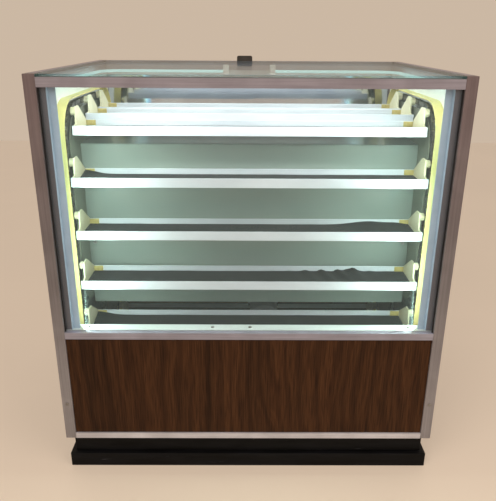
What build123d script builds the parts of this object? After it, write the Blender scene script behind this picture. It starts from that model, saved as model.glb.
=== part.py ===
"""Rotating display case: a lit, glass-fronted cabinet whose level shelves ride round a loop on two chains.

Frame: millimetres, +X to the viewer's right, +Y to the rear, +Z up, origin on the floor under the middle.
A place is given as its depth behind the front face and its drop below the top of the posts.
"""
from math import atan2, degrees, pi, radians, sin, cos
import os

from build123d import *

os.makedirs("parts", exist_ok=True)

# Case
WIDTH = 914.4
DEPTH = 660.4
HEIGHT = 965.2
POST = 25.4
PLINTH_HEIGHT = 88.9
TOP_GLASS = 6.0
TOP_RAIL_HEIGHT = 20.0
REBATE = 6.0
SILL_DROP = 580.0
MID_RAIL_HEIGHT = 17.0
BOTTOM_RAIL_HEIGHT = 15.0
PANEL = 12.7
PANEL_RECESS = 4.2
SIDE_BOARD = 19.0
LINER = 2.0
PAN = 2.0
CLEAR = 0.3

# Plinth
BOARD = 19.0
BOARD_SETBACK = 16.2
SKID_HEIGHT = 38.1
SKID_WIDTH = 88.9
SKID_SETBACK = 4.2

# Front glazing
GLASS = 5.0
GLASS_DEPTH = 8.0
GASKET_WIDTH = 3.0
GASKET = 2.0
CHANNEL_WIDTH = 14.8
CHANNEL = 2.0
CHANNEL_LIP = 4.0
SHIELD_WIDTH = 17.5
SHIELD = 1.5
SHIELD_REACH = 9.5
LEDGE_DEPTH = 28.0
LEDGE = 2.0

# Chain loop
PITCH = 25.4
TEETH = 24
CHAIN_DEPTH = 118.6
CHAIN_DROP = 80.0
CHAIN_INSET = 10.8
LOOP_ABOVE_PAN = 104.0
ROLLER_R = 3.95
LINK_PIN_R = 2.0
LINK_HEIGHT = 11.0
INNER_GAP = 8.0
INNER_PLATE = 1.2
OUTER_PLATE = 1.4
SIDE_PLAY = 0.2
SPROCKET = 4.0
TOOTH_RISE = 0.8
SEAT_PLAY = 0.15
HUB_R = 20.0
HUB_LENGTH = 10.0
AXLE_R = 9.5
BORE_PLAY = 0.05
AXLE_FLANGE_R = 18.0
AXLE_FLANGE = 3.3

# Shelves, measured from the pivot they hang on
SHELF_STEP = 5
SHELF_FIRST = 4
LIP_INSET = 14.6
TRAY_INSET = 21.0
LIP_AHEAD = 33.0
RIM_BEHIND = 72.0
LIP_BELOW = 28.5
LIP_HEIGHT = 22.0
FLOOR_BELOW_LIP = 16.0
SHEET = 2.0
BRACKET = 3.4
BOSS_R = 9.5
BRACKET_TOP = 12.0
MAT = 3.0
MAT_MARGIN = 1.0

# Track guards, island plates and the box between them
GUARD_OUTER = 87.0
GUARD_DROP = 63.0
GUARD_BELOW = 22.8
GUARD_RADIUS = 80.0
GUARD_WIDTH = 21.8
GUARD = 2.0
ISLAND_RADIUS = 85.0
ISLAND_ABOVE_SHAFT = 79.9
ISLAND = 2.0
ISLAND_INSET = 16.8
SPACER_R = 6.0
SPACER_RISE = 40.0
BOX_AHEAD = 0.9
BOX_BEHIND = 40.5
BOX_DROP = 176.0
BOX_SHEET = 1.5
ANGLE = 20.0

# Drive
GEARBOX_X = 45.0
GEARBOX_HALF = 45.0
MOTOR_R = 40.0
MOTOR_LENGTH = 110.0
MOTOR_BELOW_SHAFT = 25.0
BEAM_WIDTH = 20.0
BEAM_HEIGHT = 30.0
BEAM_ABOVE_SHAFT = 59.9
SADDLE_WIDTH = 40.0

# Lamps
TUBE_R = 8.0
TUBE_DEPTH = 43.0
TUBE_INSET = 11.0
TUBE_TOP = 60.0
TUBE_LENGTH = 440.0
HOLDER = 18.0
HOLDER_HALF = 12.0
TOP_TUBE_R = 4.0
TOP_TUBE_DROP = 24.0
TOP_TUBE_FRONT = 46.0
TOP_TUBE_REAR_GAP = 120.4
TOP_TUBE_BEND = 60.0
TOP_TUBE_END_X = 75.0
CLIP = 16.0

# Rear doors
DOOR = 5.0
TRACK_SLOT = 8.5
TRACK_FIN = 2.0
TRACK_BASE = 2.0
TRACK_SETBACK = 1.4
LOWER_FIN = 8.0
UPPER_FIN = 14.0
DOOR_LIFT = 4.2
DOOR_OVERLAP = 30.0
PULL_R = 12.0
PULL = 1.0

# Small fittings
LATCH_X = -13.6
LATCH_WIDTH = 46.0
LATCH_HEIGHT = 15.0
LATCH_DEPTH = 14.0
LATCH_SETBACK = 5.0
KNOB_R = 6.0
KNOB = 4.0
SCREW_R = 4.0
SCREW_HEAD = 1.5
POST_SCREW_RISE = 100.3
LEDGE_SCREWS = (-380.0, -87.0, 2.0, 378.0)
BOX_BOLT_DROP = 430.0
BOX_BOLT_INSET = 17.0
BOX_BOLT_R = 5.0
BOX_BOLT = 4.0
INLET_INSET = 101.8
INLET_Z = 170.0
INLET_WIDTH = 60.0
INLET_HEIGHT = 30.0
INLET_BODY = 30.0
INLET_FLANGE = 2.0
INLET_RIM = 5.0
ROCKER_WIDTH = 12.0
ROCKER_HEIGHT = 20.0
ROCKER = 6.0
ROCKER_ROOM = 2.0
ROCKER_OFFSET = 18.0

# Worked-out places
INNER = WIDTH / 2 - POST
INNER_Y = DEPTH / 2 - POST
GLASS_UNDER = HEIGHT - TOP_GLASS
RAIL_UNDER = GLASS_UNDER - TOP_RAIL_HEIGHT
SILL = HEIGHT - SILL_DROP
MID_UNDER = SILL - MID_RAIL_HEIGHT
CASE_FLOOR = PLINTH_HEIGHT + BOTTOM_RAIL_HEIGHT
CHAIN_X = INNER - CHAIN_INSET
PITCH_R = PITCH / (2 * sin(pi / TEETH))
ARC_LINKS = TEETH // 4
LINKS_DOWN = int((HEIGHT - CASE_FLOOR - LOOP_ABOVE_PAN - CHAIN_DROP - 2 * PITCH_R) / PITCH + 0.01)
LINKS_ACROSS = int((DEPTH - 2 * CHAIN_DEPTH - 2 * PITCH_R) / PITCH + 0.01)
LOOP_LINKS = 2 * (LINKS_DOWN + LINKS_ACROSS) + TEETH
AXLE_FRONT = CHAIN_DEPTH + PITCH_R
AXLE_REAR = AXLE_FRONT + LINKS_ACROSS * PITCH
AXLE_TOP = CHAIN_DROP + PITCH_R
AXLE_BOTTOM = AXLE_TOP + LINKS_DOWN * PITCH
LINK_HALF = INNER_GAP / 2 + INNER_PLATE + SIDE_PLAY + OUTER_PLATE
BOSS_END = CHAIN_X - LINK_HALF - CLEAR
ISLAND_X = INNER - ISLAND_INSET
SHELF_HALF = CHAIN_X - LIP_INSET
TRAY_HALF = CHAIN_X - TRAY_INSET
GUARD_BOTTOM = AXLE_BOTTOM + PITCH_R + GUARD_BELOW
ISLAND_DROP = AXLE_BOTTOM - ISLAND_ABOVE_SHAFT
BOX_DEPTH = AXLE_FRONT - BOX_AHEAD
BOX_REAR = AXLE_REAR + BOX_BEHIND
BEAM_DROP = AXLE_BOTTOM - BEAM_ABOVE_SHAFT
INLET_X = INNER - INLET_INSET
GLASS_BACK = GLASS_DEPTH + GLASS
LEDGE_TOP = SILL + LEDGE
STRETCHES = (
    ("top_front", ARC_LINKS),
    ("top", LINKS_ACROSS),
    ("top_rear", ARC_LINKS),
    ("rear", LINKS_DOWN),
    ("bottom_rear", ARC_LINKS),
    ("bottom", LINKS_ACROSS),
    ("bottom_front", ARC_LINKS),
    ("front", LINKS_DOWN),
)


def y_at(depth):
    """Place along Y of a point that lies this far behind the front face."""
    return depth - DEPTH / 2


def z_at(drop):
    """Height of a point that lies this far below the top of the posts."""
    return HEIGHT - drop


def slab(x, y, z):
    """A straight-sided block between two limits on each axis."""
    low = (min(x), min(y), min(z))
    high = (max(x), max(y), max(z))
    middle = [(a + b) / 2 for a, b in zip(low, high)]
    with Locations(tuple(middle)):
        Box(high[0] - low[0], high[1] - low[1], high[2] - low[2])


def side_plane(side, near, far):
    """The plane across X where a piece that reaches from near to far on this side begins."""
    return Plane.YZ.offset(min(side * near, side * far))


def save(name, piece):
    """Label a finished sub-part and write it to its file."""
    piece.part.label = name
    export_step(piece.part, f"parts/{name}.step")


def pin_point(index):
    """Depth and drop of a chain pin, counted from the front tangent up and over the loop."""
    place = index % LOOP_LINKS
    step = radians(360 / TEETH)
    part = 0
    while place >= STRETCHES[part][1]:
        place -= STRETCHES[part][1]
        part += 1
    turn = place * step
    run = place * PITCH
    points = (
        (AXLE_FRONT - PITCH_R * cos(turn), AXLE_TOP - PITCH_R * sin(turn)),
        (AXLE_FRONT + run, AXLE_TOP - PITCH_R),
        (AXLE_REAR + PITCH_R * sin(turn), AXLE_TOP - PITCH_R * cos(turn)),
        (AXLE_REAR + PITCH_R, AXLE_TOP + run),
        (AXLE_REAR + PITCH_R * cos(turn), AXLE_BOTTOM + PITCH_R * sin(turn)),
        (AXLE_REAR - run, AXLE_BOTTOM + PITCH_R),
        (AXLE_FRONT - PITCH_R * sin(turn), AXLE_BOTTOM + PITCH_R * cos(turn)),
        (AXLE_FRONT - PITCH_R, AXLE_BOTTOM - run),
    )
    return points[part]


def shelf_groups():
    """The chain pins that carry shelves, gathered by the stretch of the loop that they lie on."""
    groups = {name: [] for name, _ in STRETCHES}
    for index in range(SHELF_FIRST, LOOP_LINKS, SHELF_STEP):
        place = index
        for name, links in STRETCHES:
            if place < links:
                groups[name].append(index)
                break
            place -= links
    return groups


def make_frame():
    """Corner posts and the rails between them."""
    with BuildPart() as posts:
        for x in (-1, 1):
            for y in (-1, 1):
                slab((x * INNER, x * WIDTH / 2), (y * INNER_Y, y * DEPTH / 2), (PLINTH_HEIGHT, HEIGHT))
    save("corner_posts", posts)

    with BuildPart() as rails:
        for side in (-1, 1):
            cross = (side * INNER_Y, side * DEPTH / 2)
            for rise in ((RAIL_UNDER, GLASS_UNDER), (MID_UNDER, SILL), (PLINTH_HEIGHT, CASE_FLOOR)):
                slab((-INNER, INNER), cross, rise)
            for rise in ((RAIL_UNDER, GLASS_UNDER), (PLINTH_HEIGHT, CASE_FLOOR)):
                slab((side * INNER, side * WIDTH / 2), (-INNER_Y, INNER_Y), rise)
            slab((side * (INNER + REBATE), side * WIDTH / 2), (-INNER_Y, INNER_Y), (GLASS_UNDER, HEIGHT))
        slab((-INNER, INNER), (INNER_Y + REBATE, DEPTH / 2), (GLASS_UNDER, HEIGHT))
    save("frame_rails", rails)


def make_plinth():
    """Recessed board frame on wider skids laid flat."""
    board_x = WIDTH / 2 - BOARD_SETBACK
    board_y = DEPTH / 2 - BOARD_SETBACK
    skid_x = WIDTH / 2 - SKID_SETBACK
    skid_y = DEPTH / 2 - SKID_SETBACK
    boards = (board_x, board_y, BOARD, (SKID_HEIGHT + CLEAR, PLINTH_HEIGHT))
    skids = (skid_x, skid_y, SKID_WIDTH, (0, SKID_HEIGHT))
    with BuildPart() as plinth:
        for half_x, half_y, thickness, rise in (boards, skids):
            end = half_y - thickness - CLEAR
            for side in (-1, 1):
                slab((-half_x, half_x), (side * (half_y - thickness), side * half_y), rise)
                slab((side * (half_x - thickness), side * half_x), (-end, end), rise)
    save("plinth", plinth)


def make_panels():
    """Outer laminated panels, white inner liners and the base pan."""
    face = DEPTH / 2 - PANEL_RECESS
    with BuildPart() as case_panels:
        for side in (-1, 1):
            board = (side * (INNER + LINER), side * (INNER + LINER + SIDE_BOARD))
            slab(board, (-INNER_Y, INNER_Y), (CASE_FLOOR, RAIL_UNDER))
            slab((-INNER, INNER), (side * (face - PANEL), side * face), (CASE_FLOOR, MID_UNDER))
        with Locations((INLET_X, face - PANEL / 2, INLET_Z)):
            Box(INLET_WIDTH, PANEL, INLET_HEIGHT, mode=Mode.SUBTRACT)
    save("case_panels", case_panels)

    with BuildPart() as side_liners:
        for side in (-1, 1):
            slab((side * INNER, side * (INNER + LINER)), (-INNER_Y, INNER_Y), (CASE_FLOOR, RAIL_UNDER))
        pan_y = INNER_Y + POST / 4
        slab((-INNER + CLEAR, INNER - CLEAR), (-pan_y, pan_y), (CASE_FLOOR, CASE_FLOOR + PAN))
    save("side_liners", side_liners)


def make_glazing():
    """Top glass laid in the rails' rebate, front glass, gasket, channels with lamp shields, and ledge."""
    with BuildPart() as top_glass:
        slab((-INNER, INNER), (-DEPTH / 2, INNER_Y + REBATE), (GLASS_UNDER, HEIGHT))
        slab((-INNER - REBATE, INNER + REBATE), (-INNER_Y, INNER_Y), (GLASS_UNDER, HEIGHT))
    save("top_glass", top_glass)

    with BuildPart() as front_glass:
        slab((-INNER, INNER), (y_at(GLASS_DEPTH), y_at(GLASS_BACK)), (SILL, RAIL_UNDER))
    save("front_glass", front_glass)

    with BuildPart() as gasket:
        strip = (y_at(GLASS_DEPTH - GASKET), y_at(GLASS_DEPTH))
        for side in (-1, 1):
            slab((side * (INNER - GASKET_WIDTH), side * INNER), strip, (SILL, RAIL_UNDER))
    save("glass_gasket", gasket)

    with BuildPart() as ledge:
        slab((-INNER, INNER), (y_at(GLASS_BACK), y_at(GLASS_BACK + LEDGE_DEPTH)), (SILL, LEDGE_TOP))
    save("sill_ledge", ledge)

    with BuildPart() as channels:
        span = (LEDGE_TOP, RAIL_UNDER)
        inner = INNER - CHANNEL_WIDTH
        back = GLASS_BACK + CHANNEL
        for side in (-1, 1):
            slab((side * inner, side * INNER), (y_at(GLASS_BACK), y_at(back)), span)
            slab((side * (INNER - SHIELD), side * INNER), (y_at(back), y_at(back + CHANNEL_LIP)), span)
    with BuildPart() as shields:
        far = GLASS_BACK + SHIELD_REACH
        for side in (-1, 1):
            slab((side * (inner - SHIELD), side * inner), (y_at(GLASS_BACK), y_at(far)), span)
            slab((side * (inner - SHIELD_WIDTH), side * (inner - SHIELD)), (y_at(far - SHIELD), y_at(far)), span)
    save("glass_channels", channels)
    save("lamp_shields", shields)


def make_guards():
    """Yellow strips that bend right round each chain loop."""
    height = GUARD_BOTTOM - GUARD_DROP
    length = DEPTH - 2 * GUARD_OUTER
    middle = (0, z_at((GUARD_DROP + GUARD_BOTTOM) / 2))
    with BuildPart() as guards:
        for side in (-1, 1):
            with BuildSketch(side_plane(side, INNER - GUARD_WIDTH, INNER)):
                with Locations(middle):
                    RectangleRounded(length, height, GUARD_RADIUS)
                    RectangleRounded(length - 2 * GUARD, height - 2 * GUARD, GUARD_RADIUS - GUARD,
                                     mode=Mode.SUBTRACT)
            extrude(amount=GUARD_WIDTH)
    save("track_guards", guards)


def make_island():
    """Plates inside each loop, the box between them, and what carries both."""
    front = AXLE_FRONT - ISLAND_RADIUS
    rear = AXLE_REAR + ISLAND_RADIUS
    top = AXLE_TOP - ISLAND_RADIUS
    with BuildPart() as plates:
        for side in (-1, 1):
            with BuildSketch(side_plane(side, ISLAND_X - ISLAND, ISLAND_X)) as outline:
                middle = y_at((front + rear) / 2)
                with Locations((middle, z_at((top + ISLAND_DROP) / 2))):
                    Rectangle(rear - front, ISLAND_DROP - top)
                upper = outline.vertices().group_by(Axis.Z)[-1]
                fillet(upper, ISLAND_RADIUS)
            extrude(amount=ISLAND)
    save("island_plates", plates)

    box_x = ISLAND_X - ISLAND
    under = BOX_DROP + BOX_SHEET
    with BuildPart() as centre:
        slab((-box_x, box_x), (y_at(BOX_DEPTH), y_at(BOX_REAR)), (z_at(under), z_at(BOX_DROP)))
        for depth in (BOX_DEPTH, BOX_REAR - BOX_SHEET):
            slab((-box_x, box_x), (y_at(depth), y_at(depth + BOX_SHEET)), (z_at(BEAM_DROP), z_at(under) - CLEAR))
    save("centre_panel", centre)

    with BuildPart() as supports:
        for side in (-1, 1):
            for depth in (AXLE_FRONT, AXLE_REAR):
                with BuildSketch(side_plane(side, ISLAND_X, INNER)):
                    with Locations((y_at(depth), z_at(ISLAND_DROP - SPACER_RISE))):
                        Circle(SPACER_R)
                extrude(amount=INNER - ISLAND_X)
            inner = box_x - ANGLE
            for depth, way in ((BOX_DEPTH + BOX_SHEET, 1), (BOX_REAR - BOX_SHEET, -1)):
                rise = (z_at(ISLAND_DROP), z_at(BOX_DROP + BOX_SHEET))
                slab((side * inner, side * box_x), (y_at(depth), y_at(depth + way * SHEET)), rise)
                slab((side * (box_x - SHEET), side * box_x), (y_at(depth), y_at(depth + way * ANGLE)), rise)
        beam_mid = (AXLE_FRONT + AXLE_REAR) / 2
        beam_y = (y_at(beam_mid - BEAM_WIDTH / 2), y_at(beam_mid + BEAM_WIDTH / 2))
        beam_under = BEAM_DROP + BEAM_HEIGHT
        slab((-INNER, INNER), beam_y, (z_at(beam_under), z_at(BEAM_DROP)))
        motor_top = AXLE_BOTTOM + MOTOR_BELOW_SHAFT - MOTOR_R
        slab((GEARBOX_X - SADDLE_WIDTH / 2, GEARBOX_X + SADDLE_WIDTH / 2), beam_y,
             (z_at(motor_top) + CLEAR, z_at(beam_under)))
    save("inner_supports", supports)


def make_link(outer):
    """One chain link along +Y from its first pin; outer links carry the pins, inner ones the rollers."""
    start = INNER_GAP / 2
    thickness = INNER_PLATE
    if outer:
        start += INNER_PLATE + SIDE_PLAY
        thickness = OUTER_PLATE
    with BuildPart() as link:
        for side in (-1, 1):
            with BuildSketch(side_plane(side, start, start + thickness)):
                with Locations((PITCH / 2, 0)):
                    SlotCenterToCenter(PITCH, LINK_HEIGHT)
            extrude(amount=thickness)
        radius = LINK_PIN_R if outer else ROLLER_R
        with BuildSketch(Plane.YZ.offset(-start)):
            with Locations((0, 0), (PITCH, 0)):
                Circle(radius)
        extrude(amount=2 * start)
        if not outer:
            with BuildSketch(Plane.YZ.offset(-start - thickness)):
                with Locations((0, 0), (PITCH, 0)):
                    Circle(LINK_PIN_R + BORE_PLAY)
            extrude(amount=2 * (start + thickness), mode=Mode.SUBTRACT)
    return link.part


def make_chains():
    """Both chains, link by link round the loop."""
    kinds = (make_link(True), make_link(False))
    for side, name in ((-1, "chain_left"), (1, "chain_right")):
        with BuildPart() as chain:
            for first, kind in enumerate(kinds):
                places = []
                for index in range(first, LOOP_LINKS, 2):
                    depth, drop = pin_point(index)
                    next_depth, next_drop = pin_point(index + 1)
                    angle = degrees(atan2(drop - next_drop, next_depth - depth))
                    places.append(Location((side * CHAIN_X, y_at(depth), z_at(drop)), (angle, 0, 0)))
                with Locations(*places):
                    add(kind)
        save(name, chain)


def make_sprockets():
    """A pair of toothed wheels at each corner of the loop."""
    corners = {
        "sprockets_top_front": (AXLE_FRONT, AXLE_TOP),
        "sprockets_top_rear": (AXLE_REAR, AXLE_TOP),
        "sprockets_bottom_front": (AXLE_FRONT, AXLE_BOTTOM),
        "sprockets_bottom_rear": (AXLE_REAR, AXLE_BOTTOM),
    }
    for name, (depth, drop) in corners.items():
        with BuildPart() as wheels:
            for side in (-1, 1):
                for half, radius in ((SPROCKET / 2, PITCH_R + TOOTH_RISE), (HUB_LENGTH / 2, HUB_R)):
                    with BuildSketch(side_plane(side, CHAIN_X - half, CHAIN_X + half)):
                        with Locations((y_at(depth), z_at(drop))):
                            Circle(radius)
                            Circle(AXLE_R + BORE_PLAY, mode=Mode.SUBTRACT)
                            if radius > HUB_R:
                                with PolarLocations(PITCH_R, TEETH):
                                    Circle(ROLLER_R + SEAT_PLAY, mode=Mode.SUBTRACT)
                    extrude(amount=2 * half)
        save(name, wheels)


def make_axles():
    """Drive shaft, its end bearings, and the stub axles of the other sprockets."""
    shaft_y = y_at(AXLE_REAR)
    shaft_z = z_at(AXLE_BOTTOM)
    with BuildPart() as shaft:
        with BuildSketch(Plane.YZ.offset(CLEAR - INNER)):
            with Locations((shaft_y, shaft_z)):
                Circle(AXLE_R)
        extrude(amount=2 * (INNER - CLEAR))
    save("drive_shaft", shaft)

    stubs = ((AXLE_FRONT, AXLE_TOP), (AXLE_REAR, AXLE_TOP), (AXLE_FRONT, AXLE_BOTTOM))
    with BuildPart() as mounts:
        for side in (-1, 1):
            for depth, drop in stubs:
                with BuildSketch(side_plane(side, INNER - AXLE_FLANGE, INNER)):
                    with Locations((y_at(depth), z_at(drop))):
                        Circle(AXLE_FLANGE_R)
                extrude(amount=AXLE_FLANGE)
                with BuildSketch(side_plane(side, ISLAND_X, INNER)):
                    with Locations((y_at(depth), z_at(drop))):
                        Circle(AXLE_R)
                extrude(amount=INNER - ISLAND_X)
            with BuildSketch(side_plane(side, INNER - AXLE_FLANGE, INNER)):
                with Locations((shaft_y, shaft_z)):
                    Circle(AXLE_FLANGE_R)
                    Circle(AXLE_R + BORE_PLAY, mode=Mode.SUBTRACT)
            extrude(amount=AXLE_FLANGE)
    save("axle_mounts", mounts)


def make_gearmotor():
    """Worm gearbox that the drive shaft runs through, and its motor."""
    with BuildPart() as gearbox:
        with Locations((GEARBOX_X, y_at(AXLE_REAR), z_at(AXLE_BOTTOM))):
            Box(2 * GEARBOX_HALF, 2 * GEARBOX_HALF, 2 * GEARBOX_HALF)
        fillet(gearbox.edges().filter_by(Axis.X), 12)
        with BuildSketch(Plane.YZ.offset(GEARBOX_X - GEARBOX_HALF)):
            with Locations((y_at(AXLE_REAR), z_at(AXLE_BOTTOM))):
                Circle(AXLE_R + BORE_PLAY)
        extrude(amount=2 * GEARBOX_HALF, mode=Mode.SUBTRACT)
    save("gearbox", gearbox)

    front = y_at(AXLE_REAR) - GEARBOX_HALF
    centre_z = z_at(AXLE_BOTTOM + MOTOR_BELOW_SHAFT)
    with BuildPart() as motor:
        with BuildSketch(Plane(origin=(GEARBOX_X, front, centre_z), z_dir=(0, -1, 0))):
            Circle(MOTOR_R)
        extrude(amount=MOTOR_LENGTH)
        fillet(motor.faces().sort_by(Axis.Y)[0].edges(), 6)
    save("motor", motor)


def shelf_tray(index):
    """Add one tray, with a lip that is wider than its floor, below a chain pin."""
    depth, drop = pin_point(index)
    lip = (z_at(drop + LIP_BELOW + LIP_HEIGHT), z_at(drop + LIP_BELOW))
    floor = z_at(drop + LIP_BELOW + FLOOR_BELOW_LIP)
    front = y_at(depth - LIP_AHEAD)
    rear = y_at(depth + RIM_BEHIND)
    slab((-SHELF_HALF, SHELF_HALF), (front, front + SHEET), lip)
    slab((-TRAY_HALF, TRAY_HALF), (front + SHEET, rear), (floor - SHEET, floor))
    slab((-TRAY_HALF, TRAY_HALF), (rear - SHEET, rear), (floor, lip[1]))


def shelf_mat(index):
    """Add the felt mat that lies in a tray."""
    depth, drop = pin_point(index)
    floor = z_at(drop + LIP_BELOW + FLOOR_BELOW_LIP)
    front = y_at(depth - LIP_AHEAD) + SHEET + MAT_MARGIN
    rear = y_at(depth + RIM_BEHIND) - SHEET - MAT_MARGIN
    slab((MAT_MARGIN - TRAY_HALF, TRAY_HALF - MAT_MARGIN), (front, rear), (floor, floor + MAT))


def make_brackets(name, indices):
    """Two end plates for each shelf, with the bosses that hang on the chain."""
    base = SHEET - LIP_BELOW - LIP_HEIGHT
    outline = (
        (SHEET - LIP_AHEAD, base),
        (RIM_BEHIND, base),
        (RIM_BEHIND, -LIP_BELOW),
        (BRACKET_TOP, BRACKET_TOP),
        (-BRACKET_TOP, BRACKET_TOP),
        (-LIP_AHEAD / 2, SHEET - LIP_BELOW),
        (SHEET - LIP_AHEAD, -LIP_BELOW),
    )
    with BuildPart() as brackets:
        for index in indices:
            depth, drop = pin_point(index)
            for side in (-1, 1):
                with BuildSketch(side_plane(side, TRAY_HALF, TRAY_HALF + BRACKET)):
                    with BuildLine():
                        Polyline([(y_at(depth) + a, z_at(drop) + b) for a, b in outline], close=True)
                    make_face()
                extrude(amount=BRACKET)
                with BuildSketch(side_plane(side, TRAY_HALF + BRACKET, BOSS_END)):
                    with Locations((y_at(depth), z_at(drop))):
                        Circle(BOSS_R)
                extrude(amount=BOSS_END - TRAY_HALF - BRACKET)
    save(name, brackets)


def make_shelves():
    """Trays, end brackets and mats of each group of shelves that moves together."""
    for group, indices in shelf_groups().items():
        with BuildPart() as trays:
            for index in indices:
                shelf_tray(index)
        save(f"{group}_trays", trays)
        with BuildPart() as mats:
            for index in indices:
                shelf_mat(index)
        save(f"{group}_mats", mats)
        make_brackets(f"{group}_brackets", indices)


def make_lamps():
    """Upright tubes behind the shields, bent tubes under the top glass, and their holders."""
    tube_x = INNER - TUBE_INSET
    tube_y = y_at(TUBE_DEPTH)
    low = z_at(TUBE_TOP + TUBE_LENGTH)
    high = z_at(TUBE_TOP)
    run_z = z_at(TOP_TUBE_DROP)
    front = y_at(TOP_TUBE_FRONT)
    rear = y_at(DEPTH - TOP_TUBE_REAR_GAP)
    with BuildPart() as tubes:
        with BuildSketch(Plane.XY.offset(low)):
            with Locations((-tube_x, tube_y), (tube_x, tube_y)):
                Circle(TUBE_R)
        extrude(amount=TUBE_LENGTH)
        for side in (-1, 1):
            with BuildLine(Plane.XY.offset(run_z)) as route:
                FilletPolyline((side * tube_x, front), (side * tube_x, rear), (side * TOP_TUBE_END_X, rear),
                               radius=TOP_TUBE_BEND)
            with BuildSketch(Plane(origin=(side * tube_x, front, run_z), z_dir=(0, 1, 0))):
                Circle(TOP_TUBE_R)
            sweep(path=route.wires()[0])
    save("lamp_tubes", tubes)

    with BuildPart() as holders:
        for side in (-1, 1):
            cap_x = (side * (tube_x - TUBE_R), side * INNER)
            for edge, way in ((low, -1), (high, 1)):
                slab(cap_x, (tube_y - HOLDER_HALF, tube_y + HOLDER_HALF), (edge, edge + way * HOLDER))
            slab((side * (tube_x - CLIP / 2), side * INNER), (front - CLIP, front),
                 (run_z - CLIP / 2, GLASS_UNDER))
            slab((side * (TOP_TUBE_END_X - CLIP), side * TOP_TUBE_END_X), (rear - CLIP / 2, rear + CLIP / 2),
                 (run_z - CLIP / 2, GLASS_UNDER))
    save("lampholders", holders)


def make_doors():
    """Two sliding panes at the rear and the double tracks that hold them."""
    front = DEPTH / 2 - TRACK_SETBACK - 2 * TRACK_SLOT - 3 * TRACK_FIN
    fins = [front + count * (TRACK_SLOT + TRACK_FIN) for count in range(3)]
    rear = fins[2] + TRACK_FIN
    with BuildPart() as tracks:
        slab((-INNER, INNER), (front, rear), (SILL, SILL + TRACK_BASE))
        slab((-INNER, INNER), (front, rear), (RAIL_UNDER - TRACK_BASE, RAIL_UNDER))
        for fin in fins:
            slab((-INNER, INNER), (fin, fin + TRACK_FIN), (SILL, SILL + TRACK_BASE + LOWER_FIN))
            slab((-INNER, INNER), (fin, fin + TRACK_FIN), (RAIL_UNDER - TRACK_BASE - UPPER_FIN, RAIL_UNDER))
    save("door_tracks", tracks)

    low = SILL + TRACK_BASE + CLEAR
    high = RAIL_UNDER - TRACK_BASE - DOOR_LIFT
    for side, fin, name in ((-1, fins[0], "door_left"), (1, fins[1], "door_right")):
        face = fin + TRACK_FIN + (TRACK_SLOT - DOOR) / 2
        with BuildPart() as door:
            slab((-side * DOOR_OVERLAP / 2, side * (INNER - MAT_MARGIN)), (face, face + DOOR), (low, high))
            pull_x = side * (INNER - 3 * PULL_R)
            with BuildSketch(Plane(origin=(pull_x, face + DOOR, (low + high) / 2), z_dir=(0, 1, 0))):
                Circle(PULL_R)
            extrude(amount=PULL)
        save(name, door)


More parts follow.
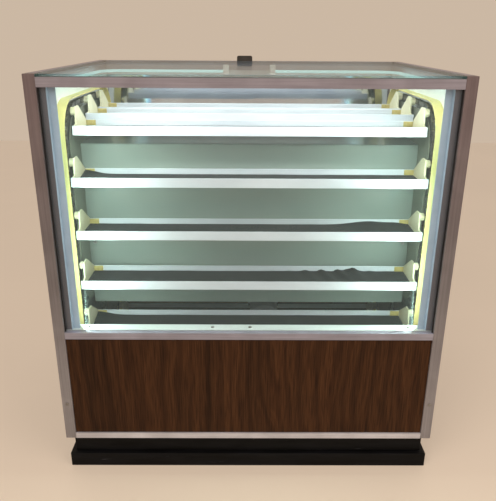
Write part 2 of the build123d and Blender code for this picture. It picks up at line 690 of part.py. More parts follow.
def make_fittings():
    """Top latch with its turning knob, screws, power inlet and its switch."""
    latch_rear = DEPTH / 2 - LATCH_SETBACK
    with BuildPart() as latch:
        with Locations((LATCH_X, latch_rear - LATCH_DEPTH / 2, HEIGHT + LATCH_HEIGHT / 2)):
            Box(LATCH_WIDTH, LATCH_DEPTH, LATCH_HEIGHT)
        fillet(latch.edges().filter_by(Axis.Y).group_by(Axis.Z)[-1], LATCH_HEIGHT / 3)
    save("top_latch", latch)

    with BuildPart() as knob:
        start = (LATCH_X, latch_rear + CLEAR, HEIGHT + LATCH_HEIGHT / 2)
        with BuildSketch(Plane(origin=start, z_dir=(0, 1, 0))):
            SlotOverall(2 * KNOB_R, KNOB_R)
        extrude(amount=KNOB)
    save("latch_knob", knob)

    post_x = WIDTH / 2 - POST / 2
    with BuildPart() as screws:
        for side in (-1, 1):
            for way in (-1, 1):
                start = (side * post_x, way * DEPTH / 2, PLINTH_HEIGHT + POST_SCREW_RISE)
                with BuildSketch(Plane(origin=start, z_dir=(0, way, 0))):
                    Circle(SCREW_R)
                extrude(amount=SCREW_HEAD)
            start = (side * (ISLAND_X - BOX_BOLT_INSET), y_at(BOX_DEPTH), z_at(BOX_BOLT_DROP))
            with BuildSketch(Plane(origin=start, z_dir=(0, -1, 0))):
                RegularPolygon(BOX_BOLT_R, 6)
            extrude(amount=BOX_BOLT)
        with BuildSketch(Plane.XY.offset(LEDGE_TOP)):
            with Locations(*[(x, y_at(GLASS_BACK + LEDGE_DEPTH / 2)) for x in LEDGE_SCREWS]):
                Circle(SCREW_R)
        extrude(amount=SCREW_HEAD)
    save("frame_screws", screws)

    face = DEPTH / 2 - PANEL_RECESS
    rocker_x = INLET_X + ROCKER_OFFSET
    with BuildPart() as inlet:
        with Locations((INLET_X, face - INLET_BODY / 2, INLET_Z)):
            Box(INLET_WIDTH, INLET_BODY, INLET_HEIGHT)
        with Locations((INLET_X, face + INLET_FLANGE / 2, INLET_Z)):
            Box(INLET_WIDTH + 2 * INLET_RIM, INLET_FLANGE, INLET_HEIGHT + 2 * INLET_RIM)
        opening = face + INLET_FLANGE - ROCKER
        with Locations((rocker_x, opening + ROCKER / 2, INLET_Z)):
            Box(ROCKER_WIDTH + 2 * CLEAR, ROCKER, ROCKER_HEIGHT + ROCKER_ROOM, mode=Mode.SUBTRACT)
        socket_x = INLET_X - ROCKER_OFFSET / 2
        with Locations((socket_x, opening, INLET_Z)):
            Box(2 * ROCKER_WIDTH, 3 * ROCKER, ROCKER_HEIGHT - 4, mode=Mode.SUBTRACT)
        for blade in (-1, 0, 1):
            with Locations((socket_x + blade * ROCKER, opening, INLET_Z)):
                Box(2, 3 * ROCKER, ROCKER)
    save("power_inlet", inlet)

    with BuildPart() as rocker:
        start = (rocker_x - ROCKER_WIDTH / 2, face + INLET_FLANGE - ROCKER / 2, INLET_Z)
        with BuildSketch(Plane(origin=start, x_dir=(0, 1, 0), z_dir=(1, 0, 0))):
            with BuildLine():
                half = ROCKER_HEIGHT / 2
                Polyline([(-1, -half), (-1, half), (1, half), (2, 0), (3, -half)], close=True)
            make_face()
        extrude(amount=ROCKER_WIDTH)
    save("rocker_switch", rocker)


make_frame()
make_plinth()
make_panels()
make_glazing()
make_guards()
make_island()
make_chains()
make_sprockets()
make_axles()
make_gearmotor()
make_shelves()
make_lamps()
make_doors()
make_fittings()
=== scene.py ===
"""Looks of the rotating display case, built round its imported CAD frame. Lengths are metres."""
import math

import bmesh
import bpy
from mathutils import Matrix, Vector, noise


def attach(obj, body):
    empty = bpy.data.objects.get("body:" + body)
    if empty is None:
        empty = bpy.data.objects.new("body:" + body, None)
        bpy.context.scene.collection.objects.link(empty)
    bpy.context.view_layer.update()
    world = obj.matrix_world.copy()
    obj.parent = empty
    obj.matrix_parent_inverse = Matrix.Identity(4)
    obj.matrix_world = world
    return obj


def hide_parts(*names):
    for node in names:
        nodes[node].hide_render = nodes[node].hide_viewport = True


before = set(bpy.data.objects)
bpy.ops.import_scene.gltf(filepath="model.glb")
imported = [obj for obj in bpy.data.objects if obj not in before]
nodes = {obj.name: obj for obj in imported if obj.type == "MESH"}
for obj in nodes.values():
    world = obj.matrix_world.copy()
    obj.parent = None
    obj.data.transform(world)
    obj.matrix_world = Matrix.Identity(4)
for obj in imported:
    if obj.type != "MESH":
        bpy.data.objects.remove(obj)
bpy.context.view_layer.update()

# The photograph's frame and the camera that its case edges fit
PHOTO_LONG_SIDE = 501
FOCAL_PIXELS = 583.6
SENSOR = 36.0
CAMERA_AT = Vector((-0.012, -1.5422, 1.0412))
CAMERA_YAW = math.radians(0.37)
CAMERA_PITCH = math.radians(20.33)
CAMERA_ROLL = math.radians(0.35)

SHELF_GROUPS = ("front", "top_front", "top", "top_rear", "rear", "bottom_rear", "bottom", "bottom_front")
VISIBLE_GROUPS = ("front", "top_front", "top")

# Felt mats
MAT_THICK = 0.0018
MAT_LIFT = 0.0004
MAT_COLUMNS = 132
MAT_ROWS = 20

# Amber clips on the rear rims
CLIP_LENGTH = 0.023
CLIP_HEIGHT = 0.013
CLIP_THICK = 0.003
CLIP_END = 0.3995
CLIP_BELOW_RIM = 0.0005
CLIP_ROUND = 0.0008
TRAY_SHEET = 0.002

# Waves and folds of the mats, with the folds in radians a metre
MAT_WAVE = 0.0006
MAT_EDGE_WANDER = 0.0007
MAT_NARROWING = 0.001
FOLD_RATE = 150
FOLD_SLANT = 5
FOLD_HEIGHT = 0.0055

# Welding and edge rounding of the sheet metal
WELD_DISTANCE = 0.00001
TRAY_ROUND = 0.0007
BRACKET_ROUND = 0.0008

# Lamps and studio
LAMP_POWER = 2.2
LAMP_SEEN = 0.85
UPRIGHT_LIGHT = (0.76, 1.0, 0.90)
TOP_LIGHT = (0.93, 1.0, 0.98)
ROOM_TONE = (0.60, 0.48, 0.37)
FLOOR_REACH = 4.5
FLOOR_GLOW = 0.45

UNSTRETCHED = (1, 1, 1)


def new_object(name, data):
    """A new object of the scene that shows this data."""
    obj = bpy.data.objects.new(name, data)
    bpy.context.scene.collection.objects.link(obj)
    return obj


def build_camera():
    """The camera at the place and angle that the photograph's edges give."""
    forward = Vector((math.sin(CAMERA_YAW) * math.cos(CAMERA_PITCH),
                      math.cos(CAMERA_YAW) * math.cos(CAMERA_PITCH),
                      -math.sin(CAMERA_PITCH)))
    level = Vector((math.cos(CAMERA_YAW), -math.sin(CAMERA_YAW), 0))
    upright = level.cross(forward)
    right = math.cos(CAMERA_ROLL) * level + math.sin(CAMERA_ROLL) * upright
    up = math.cos(CAMERA_ROLL) * upright - math.sin(CAMERA_ROLL) * level
    data = bpy.data.cameras.new("camera")
    data.sensor_width = SENSOR
    data.lens = FOCAL_PIXELS * SENSOR / PHOTO_LONG_SIDE
    data.clip_start = 0.01
    camera = new_object("camera", data)
    turn = Matrix((right, up, -forward)).transposed().to_4x4()
    camera.matrix_world = Matrix.Translation(CAMERA_AT) @ turn
    bpy.context.scene.camera = camera


def link(tree, source, target):
    """Joins a node's output to another node's input."""
    tree.links.new(source, target)


def new_material(name):
    """An empty node material and its main shader."""
    material = bpy.data.materials.new(name)
    material.use_nodes = True
    tree = material.node_tree
    return material, tree, tree.nodes["Principled BSDF"]


def stretched(tree, stretch):
    """Object coordinates, stretched along each axis."""
    place = tree.nodes.new("ShaderNodeTexCoord")
    mapping = tree.nodes.new("ShaderNodeMapping")
    mapping.inputs["Scale"].default_value = stretch
    link(tree, place.outputs["Object"], mapping.inputs["Vector"])
    return mapping.outputs["Vector"]


def noise_at(tree, vector, scale, detail, distortion=0.0):
    """A noise pattern's value."""
    pattern = tree.nodes.new("ShaderNodeTexNoise")
    pattern.inputs["Scale"].default_value = scale
    pattern.inputs["Detail"].default_value = detail
    pattern.inputs["Distortion"].default_value = distortion
    link(tree, vector, pattern.inputs["Vector"])
    return pattern.outputs["Fac"]


def ramp_of(tree, value, stops):
    """Colours spread over a value, from (place, colour) stops."""
    ramp = tree.nodes.new("ShaderNodeValToRGB")
    points = ramp.color_ramp.elements
    while len(points) < len(stops):
        points.new(0.5)
    for point, (place, colour) in zip(points, stops):
        point.position = place
        point.color = (*colour, 1)
    link(tree, value, ramp.inputs["Fac"])
    return ramp.outputs["Color"]


def remap(tree, value, low, high):
    """A value's middle range, moved to low..high."""
    node = tree.nodes.new("ShaderNodeMapRange")
    node.inputs["From Min"].default_value = 0.3
    node.inputs["From Max"].default_value = 0.7
    node.inputs["To Min"].default_value = low
    node.inputs["To Max"].default_value = high
    link(tree, value, node.inputs["Value"])
    return node.outputs["Result"]


def blended(tree, first, second, mode):
    """Two colours combined at full strength."""
    mix = tree.nodes.new("ShaderNodeMix")
    mix.data_type = "RGBA"
    mix.blend_type = mode
    sockets = {(s.name, s.type): s for s in mix.inputs}
    link(tree, first, sockets[("A", "RGBA")])
    link(tree, second, sockets[("B", "RGBA")])
    sockets[("Factor", "VALUE")].default_value = 1.0
    return [s for s in mix.outputs if s.type == "RGBA"][0]


def bumped(tree, shader, value, strength, distance):
    """Raises the surface by a pattern."""
    bump = tree.nodes.new("ShaderNodeBump")
    bump.inputs["Strength"].default_value = strength
    bump.inputs["Distance"].default_value = distance
    link(tree, value, bump.inputs["Height"])
    link(tree, bump.outputs["Normal"], shader.inputs["Normal"])


def ray_kinds(tree):
    """Outputs that are 1 for their own kind of ray and 0 for the others."""
    return tree.nodes.new("ShaderNodeLightPath").outputs


def larger_of(tree, first, second):
    """The larger of two values."""
    node = tree.nodes.new("ShaderNodeMath")
    node.operation = "MAXIMUM"
    link(tree, first, node.inputs[0])
    link(tree, second, node.inputs[1])
    return node.outputs["Value"]


def finish_of(name, dark, light, rough, metallic=0.0, scale=18.0, stretch=UNSTRETCHED, bump=0.06,
              fine=420.0):
    """A finish with soft colour variation, uneven roughness and a fine surface grain."""
    material, tree, shader = new_material(name)
    vector = stretched(tree, stretch)
    broad = noise_at(tree, vector, scale, 5.0, 0.3)
    grain = noise_at(tree, vector, fine, 3.0)
    link(tree, ramp_of(tree, broad, ((0.32, dark), (0.68, light))), shader.inputs["Base Color"])
    link(tree, remap(tree, broad, rough[0], rough[1]), shader.inputs["Roughness"])
    shader.inputs["Metallic"].default_value = metallic
    bumped(tree, shader, grain, bump, 0.0004)
    return material


def anodised(name, painted_light_tones, stretch):
    """Bronze anodised bar with painted light in its tone by height, lighter low down where the pale floor's
    light falls, with drawn lines and rubbed spots.
    """
    material, tree, shader = new_material(name)
    place = tree.nodes.new("ShaderNodeTexCoord")
    split = tree.nodes.new("ShaderNodeSeparateXYZ")
    link(tree, place.outputs["Object"], split.inputs["Vector"])
    lines = noise_at(tree, stretched(tree, stretch), 1.0, 4.0)
    spots = noise_at(tree, stretched(tree, UNSTRETCHED), 14.0, 6.0, 0.4)
    # Painted light: the tone by height is lighter towards the floor, standing in for the floor's light on
    # the lower parts.
    tone = ramp_of(tree, split.outputs["Z"], painted_light_tones)
    drawn = ramp_of(tree, lines, ((0.3, (0.84, 0.84, 0.84)), (0.7, (1.08, 1.08, 1.08))))
    rubbed = ramp_of(tree, spots, ((0.35, (0.86, 0.85, 0.85)), (0.7, (1.05, 1.05, 1.05))))
    colour = blended(tree, tone, drawn, "MULTIPLY")
    link(tree, blended(tree, colour, rubbed, "MULTIPLY"), shader.inputs["Base Color"])
    link(tree, remap(tree, spots, 0.36, 0.52), shader.inputs["Roughness"])
    shader.inputs["Metallic"].default_value = 0.55
    bumped(tree, shader, lines, 0.12, 0.0003)
    return material


def walnut():
    """Dark walnut laminate: upright boards of figured grain with fine open pores."""
    material, tree, shader = new_material("walnut_laminate")
    warp = noise_at(tree, stretched(tree, (3.2, 3.2, 1.1)), 1.6, 2.0, 0.6)
    rings = tree.nodes.new("ShaderNodeTexWave")
    rings.wave_type = "BANDS"
    rings.bands_direction = "X"
    rings.inputs["Scale"].default_value = 5.5
    rings.inputs["Distortion"].default_value = 9.0
    rings.inputs["Detail"].default_value = 3.0
    rings.inputs["Detail Scale"].default_value = 0.9
    link(tree, stretched(tree, (1.7, 1.7, 0.28)), rings.inputs["Vector"])
    link(tree, remap(tree, warp, 0.0, 9.0), rings.inputs["Phase Offset"])
    figure = ramp_of(tree, rings.outputs["Fac"], (
        (0.0, (0.044, 0.016, 0.0055)),
        (0.45, (0.056, 0.021, 0.0072)),
        (0.75, (0.070, 0.027, 0.0095)),
        (1.0, (0.060, 0.0225, 0.0078)),
    ))
    pores = noise_at(tree, stretched(tree, (420, 420, 14)), 1.0, 3.0)
    streaks = noise_at(tree, stretched(tree, (26, 26, 0.9)), 1.0, 5.0, 0.5)
    streak_tone = ramp_of(tree, streaks, ((0.3, (0.62, 0.60, 0.58)), (0.72, (1.35, 1.32, 1.28))))
    pore_tone = ramp_of(tree, pores, ((0.36, (0.55, 0.52, 0.5)), (0.55, (1.1, 1.1, 1.1))))
    colour = blended(tree, figure, streak_tone, "MULTIPLY")
    link(tree, blended(tree, colour, pore_tone, "MULTIPLY"), shader.inputs["Base Color"])
    link(tree, remap(tree, streaks, 0.34, 0.46), shader.inputs["Roughness"])
    shader.inputs["Specular IOR Level"].default_value = 0.2
    bumped(tree, shader, pores, 0.10, 0.0003)
    return material


def black_paint():
    """Black brushed paint over boards, scuffed to grey along its faces."""
    material, tree, shader = new_material("black_paint")
    brushed = noise_at(tree, stretched(tree, (9, 60, 60)), 1.0, 5.0, 0.4)
    scuffs = noise_at(tree, stretched(tree, (5, 22, 30)), 2.0, 8.0, 1.2)
    base = ramp_of(tree, brushed, ((0.3, (0.002, 0.002, 0.002)), (0.7, (0.006, 0.006, 0.007))))
    worn = ramp_of(tree, scuffs, ((0.70, (0.0, 0.0, 0.0)), (0.80, (0.16, 0.16, 0.165))))
    link(tree, blended(tree, base, worn, "ADD"), shader.inputs["Base Color"])
    link(tree, remap(tree, scuffs, 0.4, 0.7), shader.inputs["Roughness"])
    shader.inputs["Specular IOR Level"].default_value = 0.22
    bumped(tree, shader, brushed, 0.3, 0.0008)
    return material


def felt():
    """Felt with a matted pile and paler worn patches, written far darker than real slate-grey felt: the
    darkness is painted shade, that of the shelves above.
    """
    material, tree, shader = new_material("slate_felt")
    pile = noise_at(tree, stretched(tree, UNSTRETCHED), 900.0, 4.0)
    patches = noise_at(tree, stretched(tree, (1, 1.6, 1)), 16.0, 6.0, 0.8)
    # The dark tone colours are painted shade: the shade that the shelves above cast on the mats.
    tone = ramp_of(tree, patches, ((0.3, (0.006, 0.0067, 0.0078)), (0.7, (0.014, 0.0157, 0.0170))))
    fibres = ramp_of(tree, pile, ((0.3, (0.68, 0.68, 0.68)), (0.7, (1.25, 1.25, 1.25))))
    link(tree, blended(tree, tone, fibres, "MULTIPLY"), shader.inputs["Base Color"])
    shader.inputs["Roughness"].default_value = 0.95
    shader.inputs["Specular IOR Level"].default_value = 0.2
    shader.inputs["Sheen Weight"].default_value = 0.08
    shader.inputs["Sheen Roughness"].default_value = 0.5
    bumped(tree, shader, pile, 0.55, 0.0006)
    return material


def glass(name, tint, alpha, smear, gloss):
    """Sheet glass, clear or tinted, with faint wiping marks."""
    material, tree, shader = new_material(name)
    marks = noise_at(tree, stretched(tree, (5, 5, 9)), 2.2, 6.0, 1.4)
    shader.inputs["Base Color"].default_value = (*tint, 1)
    link(tree, remap(tree, marks, 0.02, smear), shader.inputs["Roughness"])
    shader.inputs["IOR"].default_value = 1.5
    shader.inputs["Specular IOR Level"].default_value = gloss
    shader.inputs["Alpha"].default_value = alpha
    return material


def mirror():
    """Silvered pane with a faint lavender cast."""
    material, tree, shader = new_material("mirror_pane")
    haze = noise_at(tree, stretched(tree, (4, 4, 4)), 3.0, 5.0, 0.8)
    link(tree, ramp_of(tree, haze, ((0.3, (0.60, 0.61, 0.68)), (0.7, (0.72, 0.73, 0.79)))),
         shader.inputs["Base Color"])
    link(tree, remap(tree, haze, 0.04, 0.12), shader.inputs["Roughness"])
    shader.inputs["Metallic"].default_value = 1.0
    return material


def glowing(name, colour, strength, seen):
    """Lit lamp glass, dimmer to the camera than in what it lights."""
    material, tree, shader = new_material(name)
    cloud = noise_at(tree, stretched(tree, UNSTRETCHED), 9.0, 2.0)
    link(tree, ramp_of(tree, cloud, ((0.2, colour), (0.8, tuple(min(1.0, c * 1.06) for c in colour)))),
         shader.inputs["Emission Color"])
    shader.inputs["Base Color"].default_value = (0.35, 0.5, 0.5, 1)
    power = tree.nodes.new("ShaderNodeMapRange")
    power.inputs["To Min"].default_value = strength
    power.inputs["To Max"].default_value = seen
    link(tree, ray_kinds(tree)["Is Camera Ray"], power.inputs["Value"])
    link(tree, power.outputs["Result"], shader.inputs["Emission Strength"])
    shader.inputs["Roughness"].default_value = 0.3
    return material


def enamel(name, dark, light):
    """Sprayed enamel on sheet metal, with faint darker patches."""
    return finish_of(name, dark, light, (0.28, 0.42), scale=7.0, stretch=(1, 1.5, 2), bump=0.05, fine=260.0)


# The felt, the white trays and the walnut are written darker than the real finishes. They were tuned
# towards the photograph under these lights, and would look too dark under others.
materials = {
    # The posts' and rails' tones by height are painted light, lighter low down where the floor's light
    # falls.
    "post": anodised("bronze_posts_painted_light", (
        (0.15, (0.44, 0.41, 0.42)),
        (0.5, (0.30, 0.272, 0.277)),
        (0.92, (0.25, 0.190, 0.190)),
    ), (260, 260, 5)),
    "rail": anodised("bronze_rails_painted_light", (
        (0.12, (0.90, 0.88, 0.94)),
        (0.30, (0.48, 0.46, 0.54)),
        (0.45, (0.48, 0.46, 0.54)),
        (0.9, (0.43, 0.39, 0.44)),
    ), (6, 6, 320)),
    "bright": finish_of("bright_aluminium", (0.50, 0.53, 0.55), (0.66, 0.69, 0.71), (0.3, 0.45), 0.7,
                        stretch=(1, 1, 0.1), fine=500.0),
    # The blue of the lamp shields is painted light: a white reflector tinted by the tubes' cool glow.
    "glow_tinted_shield": finish_of("lamp_shield_painted_glow", (0.36, 0.47, 0.60), (0.44, 0.56, 0.69), (0.35, 0.5), 0.1),
    "channel": finish_of("glazing_channel", (0.13, 0.125, 0.15), (0.19, 0.18, 0.21), (0.35, 0.5), 0.5,
                         stretch=(1, 1, 0.1), fine=500.0),
    "ledge": finish_of("sill_finish", (0.62, 0.68, 0.66), (0.76, 0.82, 0.79), (0.35, 0.5), 0.25,
                       stretch=(0.2, 1, 1)),
    "walnut": walnut(),
    "black_paint": black_paint(),
    "liner": enamel("white_liner", (0.74, 0.78, 0.74), (0.84, 0.87, 0.83)),
    "top_glass": glass("top_glass", (0.06, 0.17, 0.16), 0.36, 0.06, 0.45),
    "front_glass": glass("front_glass", (0.55, 0.7, 0.68), 0.05, 0.03, 1.0),
    "mirror": mirror(),
    "gasket": finish_of("black_gasket", (0.010, 0.010, 0.011), (0.024, 0.024, 0.026), (0.55, 0.7)),
    "guard": finish_of("yellow_guard", (0.70, 0.59, 0.20), (0.84, 0.74, 0.32), (0.42, 0.58), scale=9.0,
                       stretch=(2, 1, 1)),
    "olive": finish_of("olive_plate", (0.17, 0.185, 0.14), (0.25, 0.27, 0.215), (0.35, 0.5), 0.25,
                       scale=6.0),
    "centre": finish_of("centre_enamel", (0.25, 0.29, 0.265), (0.29, 0.335, 0.30), (0.08, 0.13), scale=4.0),
    "tray": enamel("white_enamel", (0.56, 0.60, 0.64), (0.65, 0.69, 0.73)),
    "bracket": enamel("cream_enamel", (0.60, 0.57, 0.36), (0.75, 0.73, 0.52)),
    "clip": finish_of("amber_clip", (0.42, 0.33, 0.10), (0.58, 0.48, 0.18), (0.3, 0.45), scale=60.0),
    "felt": felt(),
    "chain": finish_of("oiled_steel", (0.10, 0.10, 0.09), (0.32, 0.32, 0.30), (0.25, 0.5), 0.85,
                       scale=140.0),
    "casting": finish_of("grey_casting", (0.10, 0.11, 0.12), (0.16, 0.17, 0.18), (0.45, 0.6), 0.2,
                         scale=40.0, bump=0.25, fine=300.0),
    "lamp": glowing("lamp_glass", (0.50, 0.94, 0.92), LAMP_POWER, LAMP_SEEN),
    "white_plastic": finish_of("white_plastic", (0.70, 0.70, 0.66), (0.80, 0.80, 0.76), (0.4, 0.5)),
    "hardware": finish_of("dark_hardware", (0.045, 0.036, 0.030), (0.085, 0.070, 0.060), (0.35, 0.5), 0.5),
    "screw": finish_of("screw_metal", (0.30, 0.29, 0.28), (0.46, 0.45, 0.44), (0.3, 0.45), 0.9, scale=90.0),
    "black_plastic": finish_of("black_plastic", (0.014, 0.014, 0.015), (0.026, 0.026, 0.028), (0.4, 0.55)),
}

NODE_FINISH = {
    "corner_posts": "post", "frame_rails": "rail", "glass_channels": "channel", "door_tracks": "bright",
    "lamp_shields": "glow_tinted_shield", "sill_ledge": "ledge", "case_panels": "walnut", "plinth": "black_paint",
    "side_liners": "liner", "top_glass": "top_glass", "front_glass": "front_glass", "door_left": "mirror",
    "door_right": "mirror", "glass_gasket": "gasket", "track_guards": "guard", "island_plates": "olive",
    "centre_panel": "centre", "inner_supports": "olive", "gearbox": "casting", "motor": "casting",
    "lamp_tubes": "lamp", "lampholders": "white_plastic", "top_latch": "hardware", "latch_knob": "hardware",
    "frame_screws": "screw", "power_inlet": "black_plastic", "rocker_switch": "black_plastic",
    "drive_shaft": "chain", "axle_mounts": "chain",
}
KIND_FINISH = {"trays": "tray", "brackets": "bracket", "mats": "felt"}


def finish_for(name):
    """The finish of a CAD node, by its name or its kind."""
    if name in NODE_FINISH:
        return materials[NODE_FINISH[name]]
    if name.startswith(("chain", "sprockets")):
        return materials["chain"]
    return materials[KIND_FINISH[name.rsplit("_", 1)[1]]]


# Edge rounding of the sheet and bar stock
EDGE_ROUND = {
    "corner_posts": 0.0012, "frame_rails": 0.0008, "plinth": 0.0025, "case_panels": 0.0006,
    "top_glass": 0.0012, "sill_ledge": 0.0005, "centre_panel": 0.0005, "lampholders": 0.0015,
    "top_latch": 0.0012, "door_left": 0.0006, "door_right": 0.0006, "frame_screws": 0.0005,
    "lamp_shields": 0.0004, "glass_channels": 0.0004, "power_inlet": 0.0006, "latch_knob": 0.0006,
}


def round_edges(obj, width):
    """Welds a piece's split corners and rounds its sharp edges."""
    weld = obj.modifiers.new("weld", "WELD")
    weld.merge_threshold = WELD_DISTANCE
    bevel = obj.modifiers.new("round", "BEVEL")
    bevel.width = width
    bevel.segments = 2
    bevel.limit_method = "ANGLE"
    bevel.angle_limit = math.radians(50)
    bevel.harden_normals = True


def dress_nodes():
    """Gives every CAD node its finish and rounded edges."""
    for name, obj in nodes.items():
        obj.data.materials.clear()
        obj.data.materials.append(finish_for(name))
        if name in EDGE_ROUND:
            round_edges(obj, EDGE_ROUND[name])
        elif name.endswith("_trays"):
            round_edges(obj, TRAY_ROUND)
        elif name.endswith("_brackets"):
            round_edges(obj, BRACKET_ROUND)


def solids_of(name):
    """The boxes of a node's separate solids, highest first and then nearest the front."""
    mesh = bmesh.new()
    mesh.from_mesh(nodes[name].data)
    bmesh.ops.remove_doubles(mesh, verts=mesh.verts, dist=WELD_DISTANCE)
    left = set(mesh.verts)
    boxes = []
    while left:
        stack = [left.pop()]
        found = list(stack)
        while stack:
            for edge in stack.pop().link_edges:
                for vert in edge.verts:
                    if vert in left:
                        left.remove(vert)
                        stack.append(vert)
                        found.append(vert)
        low = Vector([min(v.co[i] for v in found) for i in range(3)])
        high = Vector([max(v.co[i] for v in found) for i in range(3)])
        boxes.append((low, high))
    mesh.free()
    boxes.sort(key=lambda box: (-round(box[1].z, 3), box[0].y))
    return boxes


def smooth_piece(name, data, material, body):
    """A smooth-shaded piece made of a finished mesh, which rides on a body."""
    obj = new_object(name, data)
    data.materials.append(material)
    for polygon in data.polygons:
        polygon.use_smooth = True
    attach(obj, body)
    return obj


def bevelled_block(name, low, high, material, body, width):
    """A small moulded block with rounded edges."""
    mesh = bmesh.new()
    bmesh.ops.create_cube(mesh, size=1.0)
    size = Vector(high) - Vector(low)
    middle = (Vector(high) + Vector(low)) / 2
    for vert in mesh.verts:
        vert.co = Vector([vert.co[i] * size[i] + middle[i] for i in range(3)])
    bmesh.ops.bevel(mesh, geom=list(mesh.edges), offset=width, segments=3, profile=0.6, affect="EDGES")
    data = bpy.data.meshes.new(name)
    mesh.to_mesh(data)
    mesh.free()
    smooth_piece(name, data, material, body)


def hill(value, centre, spread, height=1.0):
    """A smooth rise around a centre."""
    return height * math.exp(-((value - centre) / spread) ** 2)


def curl_left(x, back):
    """The left rear corner lifts off the tray."""
    return hill(x, centre=-0.40, spread=0.035, height=0.011) * back ** 2


def rise_right(x, back):
    """The right end rides up towards the rear."""
    ride = hill(x, centre=0.30, spread=0.055, height=0.009) * back ** 2
    corner = hill(x, centre=0.37, spread=0.03, height=0.004) * back
    return ride + corner


def crumple_right(x, back):
    """Pushed-up folds towards the right end."""
    folds = max(0.0, math.sin(x * FOLD_RATE + back * FOLD_SLANT)) * hill(x, centre=0.215, spread=0.085)
    peak = hill(x, centre=0.262, spread=0.02, height=0.008) * back ** 2
    return FOLD_HEIGHT * folds * (0.35 + 0.65 * back) + peak


def lie_flat(x, back):
    """A mat that lies flat."""
    return 0.0


MAT_SHAPES = {
    ("front", 0): curl_left,
    ("front", 1): rise_right,
    ("front", 2): crumple_right,
    ("front", 3): curl_left,
}


def make_mat(name, group, low, high, shape):
    """A thin felt sheet laid in a tray, with gentle waves and the lifted places the photograph shows."""
    verts = []
    width, length = high.x - low.x, high.y - low.y
    base = low.z + MAT_LIFT
    seed = Vector((low.z * 40, low.y * 40, 3.0))
    for layer in (MAT_THICK, 0.0):
        for row in range(MAT_ROWS + 1):
            back = row / MAT_ROWS
            for column in range(MAT_COLUMNS + 1):
                x = low.x + width * column / MAT_COLUMNS
                y = low.y + length * back
                wave = MAT_WAVE * (1 + noise.noise(Vector((x * 11, y * 22, 0)) + seed))
                edge = MAT_EDGE_WANDER * noise.noise(Vector((x * 30, y * 30, 9)) + seed)
                inward = MAT_NARROWING * (0.5 - back)
                verts.append((x, y + inward + edge * (back > 0.9), base + layer + wave + shape(x, back)))
    count = (MAT_ROWS + 1) * (MAT_COLUMNS + 1)
    faces = []
    for row in range(MAT_ROWS):
        for column in range(MAT_COLUMNS):
            a = row * (MAT_COLUMNS + 1) + column
            b = a + MAT_COLUMNS + 1
            faces.append((a, a + 1, b + 1, b))
            faces.append((count + a, count + b, count + b + 1, count + a + 1))
    rim = [row * (MAT_COLUMNS + 1) for row in range(MAT_ROWS, 0, -1)]
    rim += list(range(MAT_COLUMNS))
    rim += [row * (MAT_COLUMNS + 1) + MAT_COLUMNS for row in range(MAT_ROWS)]
    last = MAT_ROWS * (MAT_COLUMNS + 1)
    rim += list(range(last + MAT_COLUMNS, last, -1))
    for a, b in zip(rim, rim[1:] + rim[:1]):
        faces.append((a, count + a, count + b, b))
    data = bpy.data.meshes.new(name)
    data.from_pydata(verts, [], faces)
    data.update()
    mat = smooth_piece(name, data, materials["felt"], f"{group}_shelves")
    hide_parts(f"{group}_mats")


def dress_shelves():
    """Mats in all trays, and clips on the rims of those that show."""
    for group in SHELF_GROUPS:
        for number, (low, high) in enumerate(solids_of(f"{group}_mats")):
            shape = MAT_SHAPES.get((group, number), lie_flat)
            make_mat(f"{group}_mat_{number + 1}", group, low, high, shape)
    for group in VISIBLE_GROUPS:
        for number, (low, high) in enumerate(solids_of(f"{group}_trays")):
            rim_face = high.y - TRAY_SHEET
            for side, end in ((-1, "left"), (1, "right")):
                outer = side * CLIP_END
                near = min(outer, outer - side * CLIP_LENGTH)
                bevelled_block(
                    f"{group}_clip_{number + 1}_{end}",
                    (near, rim_face - CLIP_THICK, high.z - CLIP_HEIGHT - CLIP_BELOW_RIM),
                    (near + CLIP_LENGTH, rim_face, high.z - CLIP_BELOW_RIM),
                    materials["clip"], f"{group}_shelves", CLIP_ROUND)


def area_light(name, at, towards, size, energy, colour):
    """A soft light that neither the camera nor a reflection shows."""
    data = bpy.data.lights.new(name, "AREA")
    data.shape = "RECTANGLE"
    data.size, data.size_y = size
    data.energy = energy
    data.color = colour
    obj = new_object(name, data)
    obj.location = at
    obj.rotation_euler = (Vector(towards) - Vector(at)).to_track_quat("-Z", "Y").to_euler()
    obj.visible_camera = False
    obj.visible_glossy = False


def light_case():
    """Soft lights in place of the case's tubes, one for the front lips, and two for the outside."""
    for side in (-1, 1):
        area_light(f"tube_light_{side}", at=(side * 0.378, -0.300, 0.66), towards=(0.0, 0.0, 0.63),
                   size=(0.03, 0.54), energy=1.6, colour=UPRIGHT_LIGHT)
    area_light("top_light", at=(0, -0.07, 0.936), towards=(0, -0.05, 0),
               size=(0.78, 0.36), energy=2.2, colour=TOP_LIGHT)
    area_light("rear_light", at=(0, 0.20, 0.936), towards=(0, 0.2, 0),
               size=(0.78, 0.16), energy=0.8, colour=TOP_LIGHT)
    area_light("lip_light", at=(0, -0.29, 0.915), towards=(0, -0.235, 0.858),
               size=(0.76, 0.015), energy=0.65, colour=(0.95, 1.0, 1.0))
    area_light("key", at=(-1.1, -2.2, 2.5), towards=(0, 0, 0.5),
               size=(1.8, 1.8), energy=34, colour=(1.0, 0.97, 0.93))
    area_light("fill", at=(1.7, -1.6, 1.7), towards=(0, 0, 0.4),
               size=(1.8, 1.8), energy=20, colour=(1.0, 0.96, 0.92))


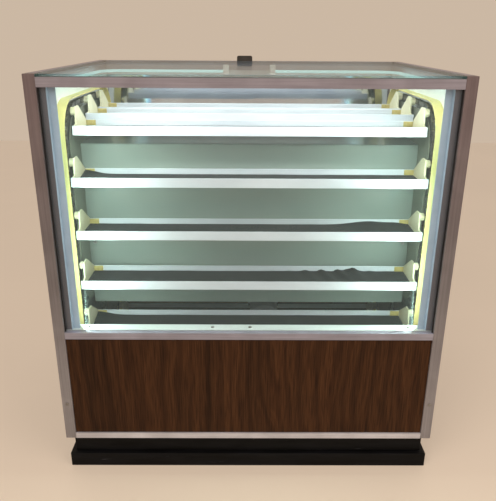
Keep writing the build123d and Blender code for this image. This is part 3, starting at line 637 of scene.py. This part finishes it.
def stage_plane(name, verts, colour, rough, glow):
    """A plain flat surface of the studio, which glows to the camera alone."""
    material, tree, shader = new_material(name)
    cloud = noise_at(tree, stretched(tree, UNSTRETCHED), 1.3, 6.0, 0.5)
    dim = tuple(c * 0.94 for c in colour)
    link(tree, ramp_of(tree, cloud, ((0.3, dim), (0.7, colour))), shader.inputs["Base Color"])
    shader.inputs["Emission Color"].default_value = (*colour, 1)
    seen = tree.nodes.new("ShaderNodeMath")
    seen.operation = "MULTIPLY"
    seen.inputs[1].default_value = glow
    link(tree, ray_kinds(tree)["Is Camera Ray"], seen.inputs[0])
    link(tree, seen.outputs["Value"], shader.inputs["Emission Strength"])
    shader.inputs["Roughness"].default_value = rough
    data = bpy.data.meshes.new(name)
    data.from_pydata(verts, [], [(0, 1, 2, 3)])
    obj = new_object(name, data)
    data.materials.append(material)


def build_studio():
    """Pale floor, an even world light, and the room's tone where the world itself shows."""
    corners = [(x * FLOOR_REACH, y * FLOOR_REACH, 0) for x, y in ((-1, -1), (1, -1), (1, 1), (-1, 1))]
    stage_plane("floor", corners, ROOM_TONE, 0.5, FLOOR_GLOW)
    world = bpy.data.worlds.new("studio")
    world.use_nodes = True
    tree = world.node_tree
    base = tree.nodes["Background"]
    base.inputs["Color"].default_value = (0.78, 0.72, 0.66, 1)
    base.inputs["Strength"].default_value = 0.55
    seen = tree.nodes.new("ShaderNodeBackground")
    seen.inputs["Color"].default_value = (*ROOM_TONE, 1)
    seen.inputs["Strength"].default_value = 1.0
    rays = ray_kinds(tree)
    direct = larger_of(tree, rays["Is Camera Ray"], rays["Is Glossy Ray"])
    shows = larger_of(tree, direct, rays["Is Transmission Ray"])
    mix = tree.nodes.new("ShaderNodeMixShader")
    link(tree, shows, mix.inputs["Fac"])
    link(tree, base.outputs["Background"], mix.inputs[1])
    link(tree, seen.outputs["Background"], mix.inputs[2])
    link(tree, mix.outputs["Shader"], tree.nodes["World Output"].inputs["Surface"])
    bpy.context.scene.world = world
    bpy.context.scene.view_settings.view_transform = "Standard"


build_camera()
dress_nodes()
dress_shelves()
light_case()
build_studio()
